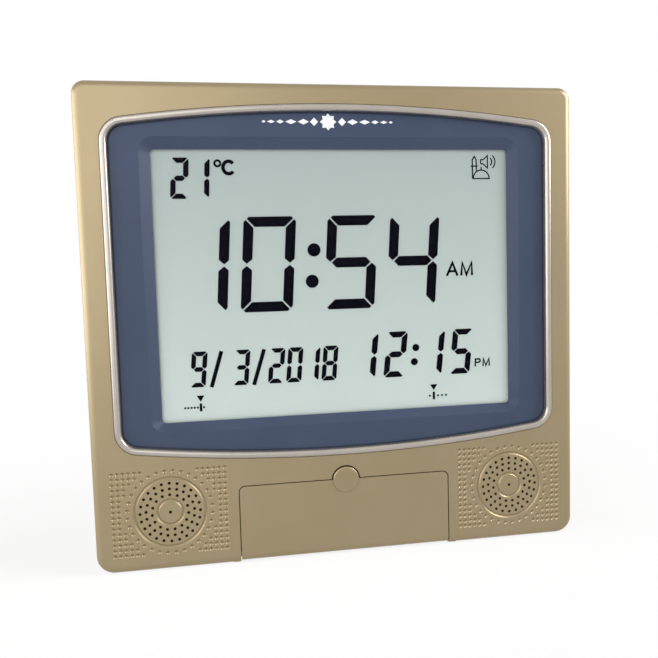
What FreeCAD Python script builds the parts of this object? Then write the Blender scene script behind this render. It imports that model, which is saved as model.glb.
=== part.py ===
"""Wall and table prayer clock with a large liquid crystal display, as an assembly of separate pieces.

Millimetres. X runs across the clock to its right, Z runs up, and the front faces -Y. The origin is the
middle of the bottom of the whole clock's box. A place in depth is measured back from the flat front of
the casing, so the trim ring stands at small negative depths and the back is at CASE_DEPTH.
"""
import FreeCAD, Part
import math
import os

V = FreeCAD.Vector

# Casing
WIDTH = 235.0
HEIGHT = 223.5
CASE_DEPTH = 35.0
RING_RISE = 1.0
FRONT_Y = (RING_RISE - CASE_DEPTH) / 2
TOP_CORNER = 6.0
BOTTOM_CORNER = 8.3
FRONT_EDGE_ROUND = 3.5
BACK_EDGE_ROUND = 5.0
FRONT_WALL = 2.6
SIDE_WALL = 2.2
PARTING = 20.0
LIP_DEPTH = 2.5
LIP_INNER = 3.6
LIP_OUTER = 2.4
RIM_END = 24.0
COVER_WALL = 2.3
COVER_INSIDE = CASE_DEPTH - COVER_WALL

# Trim ring, with its outer edge as the driving outline of the screen
RING_HALF = 106.4
RING_TOP = 214.0
RING_BOTTOM = 48.8
RING_CORNER = 11.0
RING_WIDTH = 3.2
RING_SEAT = 2.0
BEAD_ROUND = 1.4
BOW_RADIUS = 733.0
GROOVE_GAP = 0.08
STAKE_MARGIN = -2.9
STAKE_X = 62.0

# Display panel and its window
PANEL_FACE = 2.0
PANEL_BACK = 4.6
PANEL_GROOVE = 0.8
PANEL_FLANGE = -5.0
SLOPE_OUTER = (90.0, 64.2, 199.3, 7.0)
SLOPE_INNER = (85.3, 68.3, 194.0, 1.8)
WINDOW_DEPTH = 5.0
COLLAR_BACK = 7.0
POCKET = (89.0, 64.6, 197.8)
GLASS = (88.8, 64.8, 197.6)
COLLAR = (92.0, 61.6, 201.0)

# Display stack, front to back
WINDOW_THICK = 1.0
LCD_FRONT = 6.2
LCD_PLATE = 1.1
LEDGE = 4.4
LIGHT_HALF = 86.0
LIGHT_LOW = 67.2
LIGHT_HIGH = 192.0
LIGHT_FRONT = LCD_FRONT + 2 * LCD_PLATE
POLARISER_THICK = 0.2
LIGHT_THICK = 3.0
REFLECTOR_THICK = 0.3
TRAY_FLOOR = LIGHT_FRONT + POLARISER_THICK + LIGHT_THICK + REFLECTOR_THICK
TRAY_BACK = TRAY_FLOOR + 2.0
TRAY_SCREW_X = 96.0
TRAY_SCREW_Z = (80.0, 131.3, 182.6)

# Main board
BOARD_FRONT = 15.5
BOARD_THICK = 1.6
BOARD_BACK = BOARD_FRONT + BOARD_THICK
BOARD_HALF = 89.0
BOARD_LOW = 136.0
BOARD_HIGH = 200.0
BOARD_POSTS = ((-80.0, 150.0), (80.0, 150.0), (-80.0, 190.0), (80.0, 190.0))
PLUG_DEPTH = 3.0
PLUG_X = (-68.0, 0.0, 51.0, 68.0)
PLUG_Z = (137.0, 143.0)
CLOCK_CHIP_AT = (-22.0, 168.0)
CLOCK_CHIP_R = 9.0
AMPLIFIER_AT = (38.0, 152.0)
MEMORY_AT = (8.0, 172.0)
CRYSTAL_AT = (-48.0, 160.0)
CAPACITOR_X = (28.0, 42.0, 56.0)
CAPACITOR_Z = 166.0
CAPACITOR_HIGH = 8.5
ZEBRA_HALF = 84.0
ZEBRA_DROP = (3.6, 1.4)

# Speakers and their grilles
SPEAKER_X = 83.1
SPEAKER_Z = 27.5
SPEAKER_R = 18.0
SPEAKER_FRONT = FRONT_WALL + 0.4
SPEAKER_RIM = 1.4
SPEAKER_CUP_BACK = 10.0
MAGNET_R = 9.5
MAGNET_BACK = 14.5
MAGNET_PLATE_BACK = 16.2
TERMINAL_Z = (38.0, 43.0)
TERMINAL_DEPTH = (8.0, 9.2)
HOLE_R = 0.7
HOLE_RINGS = ((8.29, 15), (11.03, 21), (13.7, 24))
GROOVE_RADII = (5.8, 16.2)
GROOVE_WIDTH = 1.5
GROOVE_SINK = 0.45
GROOVE_FLOOR = 0.4
DENT_R = 0.95
DENT_SINK = 0.6
DENT_FLOOR_R = 0.3
DENT_RING = (19.4, 32)
DENT_PITCH = 2.57
DENT_ROWS = 16
DENT_COLUMNS = tuple(13.0 + 2.52 * step for step in range(6))
DENT_CLEAR = 22.0

# Settings door and the recess behind it
DOOR_HALF = 51.0
DOOR_TOP = 36.8
DOOR_GAP = 0.45
DOOR_THICK = 2.0
DOOR_CORNER = 2.6
HINGE_DEPTH = 3.3
HINGE_Z = 3.9
KNUCKLE_R = 3.3
PIVOT_R = 1.15
PIVOT_CLEAR = 0.07
PIVOT_REACH = 3.4
TAB_R = 6.4
TAB_Z = 36.6
TAB_GAP = 0.6
TAB_FRONT_LOW = -0.5
TAB_ROUND = 0.7
RECESS_TOP = 44.5
RECESS_FLOOR = 12.0
RECESS_WALL = 2.0
HINGE_SLOT_BACK = 8.0

# Keys, seen when the door is open
KEY_NAMES = ("set", "up", "down", "alarm", "call", "light")
KEY_PITCH = 15.0
KEY_Z = 26.0
KEY_HALF_X = 5.0
KEY_HALF_Z = 3.5
KEY_FRONT = 8.0
KEY_CLEAR = 0.35
KEY_FLANGE = 1.0
PANEL_PLATE = 1.5
PANEL_HALF = 48.0
PANEL_LOW = 14.0
PANEL_HIGH = 41.0
MAT_HALF = 43.0
KEY_BOARD_FRONT = 18.2
KEY_BOARD_BACK = 19.8
KEY_POSTS = ((-47.0, 18.0), (47.0, 18.0), (-47.0, 36.0), (47.0, 36.0))

# Back cover
COVER_SCREWS = ((-109.5, 215.5), (109.5, 215.5), (-109.0, 9.5), (109.0, 9.5), (-57.8, 7.0), (57.8, 7.0))
BOSS_R = 3.2
SCREW_R = 1.4
SCREW_CLEAR = 0.05
TUBE_R = 4.6
TUBE_BORE = 3.4
TUBE_FLOOR = 23.5
SCREW_HEAD_R = 3.0
KEYHOLE_X = 50.0
KEYHOLE_Z = 190.0
KEYHOLE_R = 4.75
KEYHOLE_SLOT = 2.3
KEYHOLE_RISE = 8.5
VENT_SLOTS = 7
VENT_PITCH = 4.5
VENT_HALF = 15.0
JACK_X = -56.0
JACK_Z = 22.0
JACK_NOZZLE = 3.9
JACK_FRONT = 21.0
LABEL_X = (-100.0, -44.0)
LABEL_Z = (78.0, 118.0)
LABEL_SINK = 0.3

# Stand
STAND_HALF = 33.0
STAND_FOOT = 3.0
STAND_AXIS_Z = 99.5
STAND_AXIS_DEPTH = 31.6
STAND_FRONT = 30.3
STAND_THICK = 2.4
STAND_BARREL = 1.8
STAND_PIN_R = 1.0
STAND_PIN_CLEAR = 0.06
STAND_FLOOR = 29.5
STAND_GAP = 1.2
STAND_FOOT_HALF = 24.0
STAND_SHOULDER_Z = 72.0

# Batteries, in a row up the bay
CELL_R = 7.15
CELL_Z = (83.0, 98.2, 113.4)
CELL_DEPTH = 24.9
CELL_LEFT = 45.7
CELL_RIGHT = 96.2
NUB_R = 2.7
NUB_RISE = 1.3
BAY_X = (44.0, 98.0)
BAY_Z = (75.4, 121.0)
BAY_FLOOR = 17.4
BAY_WALL = 1.5
BAY_EDGE = 4.5
HATCH_EDGE = 3.0
HATCH_GAP = 0.4
HATCH_THICK = 2.0
HATCH_BARREL = 1.7
HATCH_AXIS_DEPTH = CASE_DEPTH - HATCH_BARREL
HATCH_AXIS_Z = BAY_Z[0] - HATCH_EDGE + HATCH_GAP + HATCH_BARREL
HATCH_PIN_R = 0.8
HATCH_PIN_REACH = 1.4

PARTS = {}


def part(name):
    """Marks a function as the maker of the piece of that name."""
    def keep(maker):
        PARTS[name] = maker
        return maker
    return keep


# Shapes


def at(x, depth, z):
    return V(x, FRONT_Y + depth, z)


def block(x, z, depth):
    """A box from three (low, high) pairs."""
    return Part.makeBox(x[1] - x[0], depth[1] - depth[0], z[1] - z[0], at(x[0], depth[0], z[0]))


def rod(x, z, radius, depth):
    """A cylinder that runs from front to back."""
    return Part.makeCylinder(radius, depth[1] - depth[0], at(x, depth[0], z), V(0, 1, 0))


def cross_rod(depth, z, radius, x):
    """A cylinder that runs across the clock."""
    return Part.makeCylinder(radius, x[1] - x[0], at(x[0], depth, z), V(1, 0, 0))


def cone(x, z, radii, depth):
    return Part.makeCone(radii[0], radii[1], depth[1] - depth[0], at(x, depth[0], z), V(0, 1, 0))


def fused(shapes):
    return shapes[0].multiFuse(shapes[1:]).removeSplitter()


def arc(points):
    return Part.Arc(*points).toShape()


def rounded_wire(x, z, low_round, high_round, depth):
    """A rectangle with one radius at its two low corners and another at its two high corners."""
    corners = (
        (x[1] - high_round, z[1] - high_round, high_round, 0),
        (x[0] + high_round, z[1] - high_round, high_round, 90),
        (x[0] + low_round, z[0] + low_round, low_round, 180),
        (x[1] - low_round, z[0] + low_round, low_round, 270),
    )
    turns = []
    for cx, cz, radius, start in corners:
        angles = [math.radians(start + step) for step in (0, 45, 90)]
        turns.append([at(cx + radius * math.cos(a), depth, cz + radius * math.sin(a)) for a in angles])
    edges = []
    for index, turn in enumerate(turns):
        edges.append(arc(turn))
        edges.append(Part.makeLine(turn[2], turns[(index + 1) % 4][0]))
    return Part.Wire(edges)


def slab(x, z, rounds, depth):
    """A flat plate with rounded corners."""
    wire = rounded_wire(x, z, rounds[0], rounds[1], depth[0])
    return Part.Face(wire).extrude(V(0, depth[1] - depth[0], 0))


def case_slab(inset, depth):
    """The casing's outline, drawn in by inset."""
    x = (inset - WIDTH / 2, WIDTH / 2 - inset)
    z = (inset, HEIGHT - inset)
    return slab(x, z, (BOTTOM_CORNER - inset, TOP_CORNER - inset), depth)


def screen_wire(margin, depth):
    """The ring's bowed outline, drawn in by margin, with every arc tangent to the next."""
    corner = RING_CORNER - margin
    centre_x = RING_HALF - RING_CORNER
    lift = math.sqrt((BOW_RADIUS - RING_CORNER) ** 2 - centre_x ** 2)
    turn = math.atan2(lift, centre_x)
    centre_z = {1: RING_TOP - BOW_RADIUS + lift, -1: RING_BOTTOM + BOW_RADIUS - lift}
    crest_z = {1: RING_TOP - margin, -1: RING_BOTTOM + margin}

    def bend(side, end, share):
        x = centre_x + corner * math.cos(share * turn)
        return at(side * x, depth, centre_z[end] + end * corner * math.sin(share * turn))

    edges = []
    for side, end in ((1, 1), (-1, -1)):
        edges.append(arc([bend(side, end, share) for share in (0, 0.5, 1)]))
        edges.append(arc([bend(side, end, 1), at(0, depth, crest_z[end]), bend(-side, end, 1)]))
        edges.append(arc([bend(-side, end, share) for share in (1, 0.5, 0)]))
        edges.append(Part.makeLine(bend(-side, end, 0), bend(-side, -end, 0)))
    return Part.Wire(edges)


def screen_slab(margin, depth):
    return Part.Face(screen_wire(margin, depth[0])).extrude(V(0, depth[1] - depth[0], 0))


def screen_edge(x, margin, end):
    """Height of the screen's top (end 1) or bottom (end -1) edge at x."""
    rise = math.sqrt((BOW_RADIUS - margin) ** 2 - x ** 2)
    if end > 0:
        return RING_TOP - BOW_RADIUS + rise
    return RING_BOTTOM + BOW_RADIUS - rise


def edges_at(shape, depth):
    """The edges that lie in the plane at that depth."""
    level = FRONT_Y + depth
    found = []
    for edge in shape.Edges:
        box = edge.BoundBox
        if abs(box.YMin - level) < 0.001 and abs(box.YMax - level) < 0.001:
            found.append(edge)
    return found


def around(centre_x, centre_z, radius, count, start=90.0):
    """Points evenly spaced on a circle, the first of them at the start angle."""
    angles = [math.radians(start + 360.0 * step / count) for step in range(count)]
    return [(centre_x + radius * math.cos(a), centre_z + radius * math.sin(a)) for a in angles]


def mirrored(side, near, far):
    """A (low, high) pair in X, between two distances from the middle on one side of the clock."""
    return min(side * near, side * far), max(side * near, side * far)


def dent(x, z):
    """What a dent takes out of the front face: a short cone with a flat end."""
    return cone(x, z, (DENT_R, DENT_FLOOR_R), (0, DENT_SINK))


def round_groove(x, z, radius):
    """What a round groove takes out of the front face, with walls that slope in."""
    half = GROOVE_WIDTH / 2
    floor = GROOVE_FLOOR / 2
    outer = cone(x, z, (radius + half, radius + floor), (0, GROOVE_SINK))
    return outer.cut(cone(x, z, (radius - half, radius - floor), (0, GROOVE_SINK)))


def screw(x, z, seat, tip, head_r, shank_r):
    """A pan head screw driven from the back, its head resting at seat."""
    head_rise = 0.62 * head_r
    head = rod(x, z, head_r, (seat, seat + head_rise))
    head = head.makeFillet(0.3 * head_r, edges_at(head, seat + head_rise))
    arm = 0.62 * head_r
    slot = 0.12 * head_r
    cross = [
        block((x - arm, x + arm), (z - slot, z + slot), (seat + 0.5 * head_rise, seat + 2 * head_rise)),
        block((x - slot, x + slot), (z - arm, z + arm), (seat + 0.5 * head_rise, seat + 2 * head_rise)),
    ]
    shank = rod(x, z, shank_r, (tip + shank_r, seat))
    point = cone(x, z, (0.3 * shank_r, shank_r), (tip, tip + shank_r))
    return fused([head.cut(cross), shank, point])


def lead(points, radius):
    """A round lead of straight runs joined by the largest tangent arcs that the runs allow."""
    places = [at(*point) for point in points]
    edges = []
    last = places[0]
    for before, here, after in zip(places, places[1:], places[2:]):
        back = (before - here).normalize()
        onward = (after - here).normalize()
        turn = math.pi - back.getAngle(onward)
        trim = 0.45 * min((before - here).Length, (after - here).Length)
        bend = trim / math.tan(turn / 2)
        inward = (back + onward).normalize()
        middle = here + inward * (bend / math.cos(turn / 2) - bend)
        start = here + back * trim
        end = here + onward * trim
        edges.append(Part.makeLine(last, start))
        edges.append(arc([start, middle, end]))
        last = end
        print("  bend radius", round(bend, 1))
    edges.append(Part.makeLine(last, places[-1]))
    path = Part.Wire(edges)
    ring = Part.Wire(Part.makeCircle(radius, places[0], places[1] - places[0]))
    tube = path.makePipeShell([ring], True, False)
    solid = Part.Solid(tube.Shells[0])
    ratio = solid.Volume / (math.pi * radius ** 2 * path.Length)
    print("  lead length", round(path.Length, 1), "volume ratio", round(ratio, 4))
    return solid


# Casing front


def speaker_holes(side):
    x = side * SPEAKER_X
    points = [(x, SPEAKER_Z)]
    for radius, count in HOLE_RINGS:
        points.extend(around(x, SPEAKER_Z, radius, count))
    return [rod(px, pz, HOLE_R, (-1, FRONT_WALL + 1)) for px, pz in points]


def speaker_dents(side):
    """The ring of dents and the squared rows outside it, left off where they would meet the ring."""
    x = side * SPEAKER_X
    points = around(x, SPEAKER_Z, DENT_RING[0], DENT_RING[1], 90.0 + 180.0 / DENT_RING[1])
    for row in range(DENT_ROWS):
        dz = DENT_PITCH * (row - (DENT_ROWS - 1) / 2)
        for dx in DENT_COLUMNS:
            if math.hypot(dx, dz) >= DENT_CLEAR:
                points.extend([(x - dx, SPEAKER_Z + dz), (x + dx, SPEAKER_Z + dz)])
    return [dent(px, pz) for px, pz in points]


def speaker_seat(side):
    """The locating ring and the three screw posts behind one grille."""
    x = side * SPEAKER_X
    back = SPEAKER_FRONT + SPEAKER_RIM
    ring = rod(x, SPEAKER_Z, SPEAKER_R + 1.5, (FRONT_WALL - 0.5, back))
    ring = ring.cut(rod(x, SPEAKER_Z, SPEAKER_R + 0.2, (FRONT_WALL - 1, back + 1)))
    posts = [rod(px, pz, 2.0, (FRONT_WALL - 0.5, back)) for px, pz in speaker_screw_places(side)]
    return [ring] + posts


def speaker_screw_places(side):
    return around(side * SPEAKER_X, SPEAKER_Z, SPEAKER_R + 2.8, 3, 30.0)


def stake_places():
    """Where studs of the casing go through the display panel's flange."""
    places = []
    for side in (-1, 1):
        for z in (85.0, 131.0, 177.0):
            places.append((side * (RING_HALF - STAKE_MARGIN), z))
        for end in (-1, 1):
            places.append((side * STAKE_X, screen_edge(STAKE_X, STAKE_MARGIN, end)))
    return places


def door_aperture():
    half = DOOR_HALF + DOOR_GAP
    top = DOOR_TOP + DOOR_GAP
    opening = slab((-half, half), (-10.0, top), (1.0, DOOR_CORNER + DOOR_GAP), (-1, FRONT_WALL + 1))
    notch = rod(0, TAB_Z, TAB_R + TAB_GAP, (-1, FRONT_WALL + 1))
    under = block((-half, half), (-1, HINGE_Z), (-1, HINGE_SLOT_BACK))
    return [opening, notch, under]


def key_outline(x, grow, depth):
    """An oval slab as large as a key, plus grow all round."""
    half_x = KEY_HALF_X + grow
    half_z = KEY_HALF_Z + grow
    rounds = (half_z - 0.01, half_z - 0.01)
    return slab((x - half_x, x + half_x), (KEY_Z - half_z, KEY_Z + half_z), rounds, depth)


def key_places():
    first = -KEY_PITCH * (len(KEY_NAMES) - 1) / 2
    return {name: first + KEY_PITCH * index for index, name in enumerate(KEY_NAMES)}


def door_recess():
    """The box behind the door, with lugs at its low corners for the hinge pivots."""
    half = DOOR_HALF + DOOR_GAP
    outer_half = half + RECESS_WALL
    floor_back = RECESS_FLOOR + RECESS_WALL
    outer = block((-outer_half, outer_half), (0.5, RECESS_TOP + RECESS_WALL), (FRONT_WALL - 0.5, floor_back))
    inner = block((-half, half), (SIDE_WALL, RECESS_TOP), (FRONT_WALL - 1, RECESS_FLOOR))
    walls = outer.cut(inner)
    lugs = [block(mirrored(side, half, half + 3.6), (0.5, 9.0), (1.0, 9.0)) for side in (-1, 1)]
    posts = [rod(x, z, 2.4, (floor_back - 0.5, KEY_BOARD_FRONT)) for x, z in KEY_POSTS]
    return [walls] + lugs + posts


@part("front_frame")
def front_frame():
    outer = case_slab(0, (0, PARTING))
    outer = outer.makeFillet(FRONT_EDGE_ROUND, edges_at(outer, 0))
    shell = outer.cut(case_slab(SIDE_WALL, (FRONT_WALL, PARTING + 1)))
    added = [rod(x, z, BOSS_R, (FRONT_WALL - 0.5, PARTING)) for x, z in COVER_SCREWS]
    added += door_recess()
    added += speaker_seat(-1) + speaker_seat(1)
    for x, z in stake_places():
        added.append(rod(x, z, 1.1, (FRONT_WALL - 0.5, PANEL_BACK + 0.5)))
        added.append(rod(x, z, 1.9, (PANEL_BACK, PANEL_BACK + 0.9)))
    shell = fused([shell] + added)
    removed = [screen_slab(-GROOVE_GAP, (-2, FRONT_WALL))]
    removed += door_aperture()
    half = DOOR_HALF + DOOR_GAP
    for side in (-1, 1):
        span = mirrored(side, half - 1, half + 3.2)
        removed.append(cross_rod(HINGE_DEPTH, HINGE_Z, PIVOT_R + PIVOT_CLEAR, span))
    through_floor = (RECESS_FLOOR - 1, RECESS_FLOOR + RECESS_WALL + 1)
    removed += [key_outline(x, KEY_CLEAR, through_floor) for x in key_places().values()]
    removed += [rod(x, z, 1.05, (RECESS_FLOOR + 1.2, KEY_BOARD_FRONT + 1)) for x, z in KEY_POSTS]
    removed += [rod(x, z, SCREW_R + SCREW_CLEAR, (7.0, PARTING + 1)) for x, z in COVER_SCREWS]
    for side in (-1, 1):
        removed += speaker_holes(side)
        removed += speaker_dents(side)
        removed += [round_groove(side * SPEAKER_X, SPEAKER_Z, radius) for radius in GROOVE_RADII]
        removed += [rod(x, z, 0.85, (1.4, SPEAKER_FRONT + 3)) for x, z in speaker_screw_places(side)]
    return shell.cut(removed)


# Screen surround


def ring_stud_places():
    """Studs of the trim ring, on the middle of its width."""
    margin = RING_WIDTH / 2
    places = []
    for side in (-1, 1):
        for z in (98.0, 164.0):
            places.append((side * (RING_HALF - margin), z))
        for end in (-1, 1):
            places.append((side * 70.0, screen_edge(70.0, margin, end)))
    return places


@part("trim_ring")
def trim_ring():
    bead = screen_slab(0, (-RING_RISE, RING_SEAT)).cut(screen_slab(RING_WIDTH, (-2, RING_SEAT + 1)))
    bead = bead.makeFillet(BEAD_ROUND, edges_at(bead, -RING_RISE))
    studs = [rod(x, z, 0.8, (RING_SEAT - 0.5, PANEL_BACK + 0.6)) for x, z in ring_stud_places()]
    return fused([bead] + studs)


@part("display_bezel")
def display_bezel():
    seat = screen_slab(0.1, (RING_SEAT, PANEL_BACK))
    groove = screen_slab(RING_WIDTH - 0.2, (0, PANEL_FACE + PANEL_GROOVE))
    groove = groove.cut(screen_slab(RING_WIDTH + PANEL_GROOVE, (-1, PANEL_BACK)))
    flange = screen_slab(PANEL_FLANGE, (FRONT_WALL, PANEL_BACK))
    half, low, high = COLLAR
    collar = slab((-half, half), (low, high), (3.0, 3.0), (PANEL_BACK - 1, COLLAR_BACK))
    posts = [rod(side * TRAY_SCREW_X, z, 2.8, (PANEL_BACK - 0.5, TRAY_FLOOR - 0.1))
             for side in (-1, 1) for z in TRAY_SCREW_Z]
    body = fused([seat.cut(groove), flange, collar] + posts)
    wires = []
    for (half, low, high, corner), depth in ((SLOPE_OUTER, PANEL_FACE), (SLOPE_INNER, WINDOW_DEPTH)):
        wires.append(rounded_wire((-half, half), (low, high), corner, corner, depth))
    slope = Part.makeLoft(wires, True, True)
    half, low, high = POCKET
    pocket = block((-half, half), (low, high), (WINDOW_DEPTH, COLLAR_BACK + 1))
    clear = DOOR_HALF + DOOR_GAP + RECESS_WALL + 0.4
    over_recess = block((-clear, clear), (0, RECESS_TOP + RECESS_WALL + 0.4), (0, COLLAR_BACK))
    holes = [rod(x, z, 0.9, (RING_SEAT - 1, PANEL_BACK + 1)) for x, z in ring_stud_places()]
    holes += [rod(x, z, 1.25, (FRONT_WALL - 1, PANEL_BACK + 1)) for x, z in stake_places()]
    holes += [rod(side * TRAY_SCREW_X, z, 1.15, (PANEL_BACK + 0.6, TRAY_FLOOR + 1))
              for side in (-1, 1) for z in TRAY_SCREW_Z]
    return body.cut([slope, pocket, over_recess] + holes)


# Display stack


@part("display_window")
def display_window():
    half, low, high = GLASS
    return block((-half, half), (low, high), (WINDOW_DEPTH, WINDOW_DEPTH + WINDOW_THICK))


@part("lcd_glass")
def lcd_glass():
    """Two plates, the front one longer at the top, where its contacts face back."""
    half, low, high = GLASS
    front = block((-half, half), (low, high), (LCD_FRONT, LCD_FRONT + LCD_PLATE))
    back = block((-half, half), (low, high - LEDGE), (LCD_FRONT + LCD_PLATE, LIGHT_FRONT))
    return fused([front, back])


def light_sheet(front, thickness):
    return block((-LIGHT_HALF, LIGHT_HALF), (LIGHT_LOW, LIGHT_HIGH), (front, front + thickness))


@part("rear_polariser")
def rear_polariser():
    return light_sheet(LIGHT_FRONT, POLARISER_THICK)


@part("light_guide")
def light_guide():
    return light_sheet(LIGHT_FRONT + POLARISER_THICK, LIGHT_THICK)


@part("reflector_sheet")
def reflector_sheet():
    return light_sheet(LIGHT_FRONT + POLARISER_THICK + LIGHT_THICK, REFLECTOR_THICK)


@part("backlight_strip")
def backlight_strip():
    """A narrow board with its row of lamps, shining up into the light guide."""
    depth = (LIGHT_FRONT + 0.2, TRAY_FLOOR - 0.2)
    board = block((-80.0, 80.0), (62.9, 63.9), depth)
    lamps = [block((x - 1.75, x + 1.75), (63.8, LIGHT_LOW - 0.3), (depth[0] + 0.5, depth[1] - 0.5))
             for x in range(-70, 71, 20)]
    return fused([board] + lamps)


@part("zebra_connector")
def zebra_connector():
    """The rubber strip that carries the board's lines to the glass."""
    z = tuple(GLASS[2] - drop for drop in ZEBRA_DROP)
    return block((-ZEBRA_HALF, ZEBRA_HALF), z, (LCD_FRONT + LCD_PLATE, BOARD_FRONT))


@part("lcd_tray")
def lcd_tray():
    half, low, high = COLLAR
    outer = slab((-half, half), (low - 1.0, high), (2.0, 2.0), (COLLAR_BACK, TRAY_BACK))
    nest_half = GLASS[0] + 0.2
    inner = block((-nest_half, nest_half), (62.5, GLASS[2] + 0.4), (COLLAR_BACK - 1, TRAY_FLOOR))
    zebra_z = (GLASS[2] - ZEBRA_DROP[0] - 0.2, GLASS[2] - ZEBRA_DROP[1] + 0.2)
    zebra = block((-ZEBRA_HALF - 0.2, ZEBRA_HALF + 0.2), zebra_z, (TRAY_FLOOR - 1, TRAY_BACK + 1))
    ears = []
    for side in (-1, 1):
        for z in TRAY_SCREW_Z:
            span = mirrored(side, COLLAR[0] - 1.0, TRAY_SCREW_X + 3.5)
            ears.append(block(span, (z - 4, z + 4), (TRAY_FLOOR - 0.1, TRAY_BACK)))
    posts = [rod(x, z, 3.0, (TRAY_BACK - 0.5, BOARD_FRONT)) for x, z in BOARD_POSTS]
    body = fused([outer] + ears + posts)
    holes = [rod(side * TRAY_SCREW_X, z, 1.4, (TRAY_FLOOR - 1, TRAY_BACK + 1))
             for side in (-1, 1) for z in TRAY_SCREW_Z]
    holes += [rod(x, z, 1.05, (TRAY_FLOOR + 0.4, BOARD_FRONT + 1)) for x, z in BOARD_POSTS]
    return body.cut([inner, zebra] + holes)


@part("tray_screws")
def tray_screws():
    return [screw(side * TRAY_SCREW_X, z, TRAY_BACK, PANEL_BACK + 1.0, 2.4, 1.1)
            for side in (-1, 1) for z in TRAY_SCREW_Z]


# Main board


@part("main_board")
def main_board():
    board = slab((-BOARD_HALF, BOARD_HALF), (BOARD_LOW, BOARD_HIGH), (1.5, 1.5), (BOARD_FRONT, BOARD_BACK))
    return board.cut([rod(x, z, 1.3, (BOARD_FRONT - 1, BOARD_BACK + 1)) for x, z in BOARD_POSTS])


@part("board_screws")
def board_screws():
    return [screw(x, z, BOARD_BACK, TRAY_FLOOR + 0.7, 2.4, 1.0) for x, z in BOARD_POSTS]


@part("clock_chip")
def clock_chip():
    """The bonded chip under its drop of black resin."""
    drop = rod(*CLOCK_CHIP_AT, CLOCK_CHIP_R, (BOARD_BACK, BOARD_BACK + 1.6))
    return drop.makeFillet(1.2, edges_at(drop, BOARD_BACK + 1.6))


def chip(x, z):
    """A flat package with a row of four legs along each long side."""
    half_x = 2.6
    half_z = 2.0
    legs_z = (z - half_z - 1.2, z + half_z + 1.2)
    body = block((x - half_x, x + half_x), (z - half_z, z + half_z), (BOARD_BACK + 0.2, BOARD_BACK + 1.8))
    legs = []
    for step in range(4):
        leg_x = x + (step - 1.5) * 1.27
        legs.append(block((leg_x - 0.2, leg_x + 0.2), legs_z, (BOARD_BACK, BOARD_BACK + 0.4)))
    return fused([body] + legs)


@part("amplifier_chip")
def amplifier_chip():
    return chip(*AMPLIFIER_AT)


@part("voice_memory_chip")
def voice_memory_chip():
    return chip(*MEMORY_AT)


@part("clock_crystal")
def clock_crystal():
    """The timing crystal in its small can, lying on the board."""
    return Part.makeCylinder(1.5, 8.0, at(CRYSTAL_AT[0], BOARD_BACK + 1.5, CRYSTAL_AT[1]), V(0, 0, 1))


@part("capacitors")
def capacitors():
    cans = []
    top = BOARD_BACK + CAPACITOR_HIGH
    for x in CAPACITOR_X:
        can = rod(x, CAPACITOR_Z, 4.0, (BOARD_BACK, top))
        cans.append(can.makeFillet(0.5, edges_at(can, top)))
    return cans


@part("board_plugs")
def board_plugs():
    """The sockets where the leads end."""
    return [block((x - 4, x + 4), PLUG_Z, (BOARD_BACK, BOARD_BACK + PLUG_DEPTH)) for x in PLUG_X]


# Speakers


def speaker_frame(side):
    x = side * SPEAKER_X
    rim_back = SPEAKER_FRONT + SPEAKER_RIM
    rim = rod(x, SPEAKER_Z, SPEAKER_R, (SPEAKER_FRONT, rim_back))
    cup = cone(x, SPEAKER_Z, (SPEAKER_R - 1.5, 11.0), (rim_back, SPEAKER_CUP_BACK))
    terminal = block((x - 4, x + 4), TERMINAL_Z, TERMINAL_DEPTH)
    inner = cone(x, SPEAKER_Z, (SPEAKER_R - 1.8, 9.8), (SPEAKER_FRONT - 0.01, 9.2))
    pole = rod(x, SPEAKER_Z, 4.0, (9.0, 10.5))
    return fused([rim, cup, terminal]).cut([inner, pole])


def speaker_cone(side):
    """The paper cone, its edge glued on the front of the rim, its rolled surround and its dust cap."""
    x = side * SPEAKER_X
    outer = cone(x, SPEAKER_Z, (SPEAKER_R - 4.0, 4.4), (SPEAKER_FRONT - 0.2, 8.4))
    edge = rod(x, SPEAKER_Z, SPEAKER_R - 0.5, (SPEAKER_FRONT - 0.3, SPEAKER_FRONT))
    inner = cone(x, SPEAKER_Z, (SPEAKER_R - 4.4, 4.0), (SPEAKER_FRONT - 0.31, 8.1))
    roll = Part.makeTorus(SPEAKER_R - 3.1, 0.4, at(x, SPEAKER_FRONT + 0.05, SPEAKER_Z), V(0, 1, 0))
    coil = rod(x, SPEAKER_Z, 3.6, (7.6, 9.8))
    cap = rod(x, SPEAKER_Z, 5.0, (7.0, 7.9))
    return fused([fused([outer, edge]).cut(inner), roll, coil, cap])


def speaker_magnet(side):
    x = side * SPEAKER_X
    magnet = rod(x, SPEAKER_Z, MAGNET_R, (SPEAKER_CUP_BACK, MAGNET_BACK))
    plate = rod(x, SPEAKER_Z, MAGNET_R - 0.7, (MAGNET_BACK - 0.1, MAGNET_PLATE_BACK))
    return fused([magnet, plate])


def side_maker(maker, side):
    return lambda: maker(side)


for side_name, side in (("left", -1), ("right", 1)):
    PARTS["speaker_frame_" + side_name] = side_maker(speaker_frame, side)
    PARTS["speaker_cone_" + side_name] = side_maker(speaker_cone, side)
    PARTS["speaker_magnet_" + side_name] = side_maker(speaker_magnet, side)


@part("speaker_screws")
def speaker_screws():
    """Washer head screws whose heads hold the speaker rims down."""
    seat = SPEAKER_FRONT + SPEAKER_RIM
    screws = []
    for side in (-1, 1):
        for x, z in speaker_screw_places(side):
            screws.append(screw(x, z, seat, FRONT_WALL - 1.0, 3.3, 0.8))
    return screws


# Settings door


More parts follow.
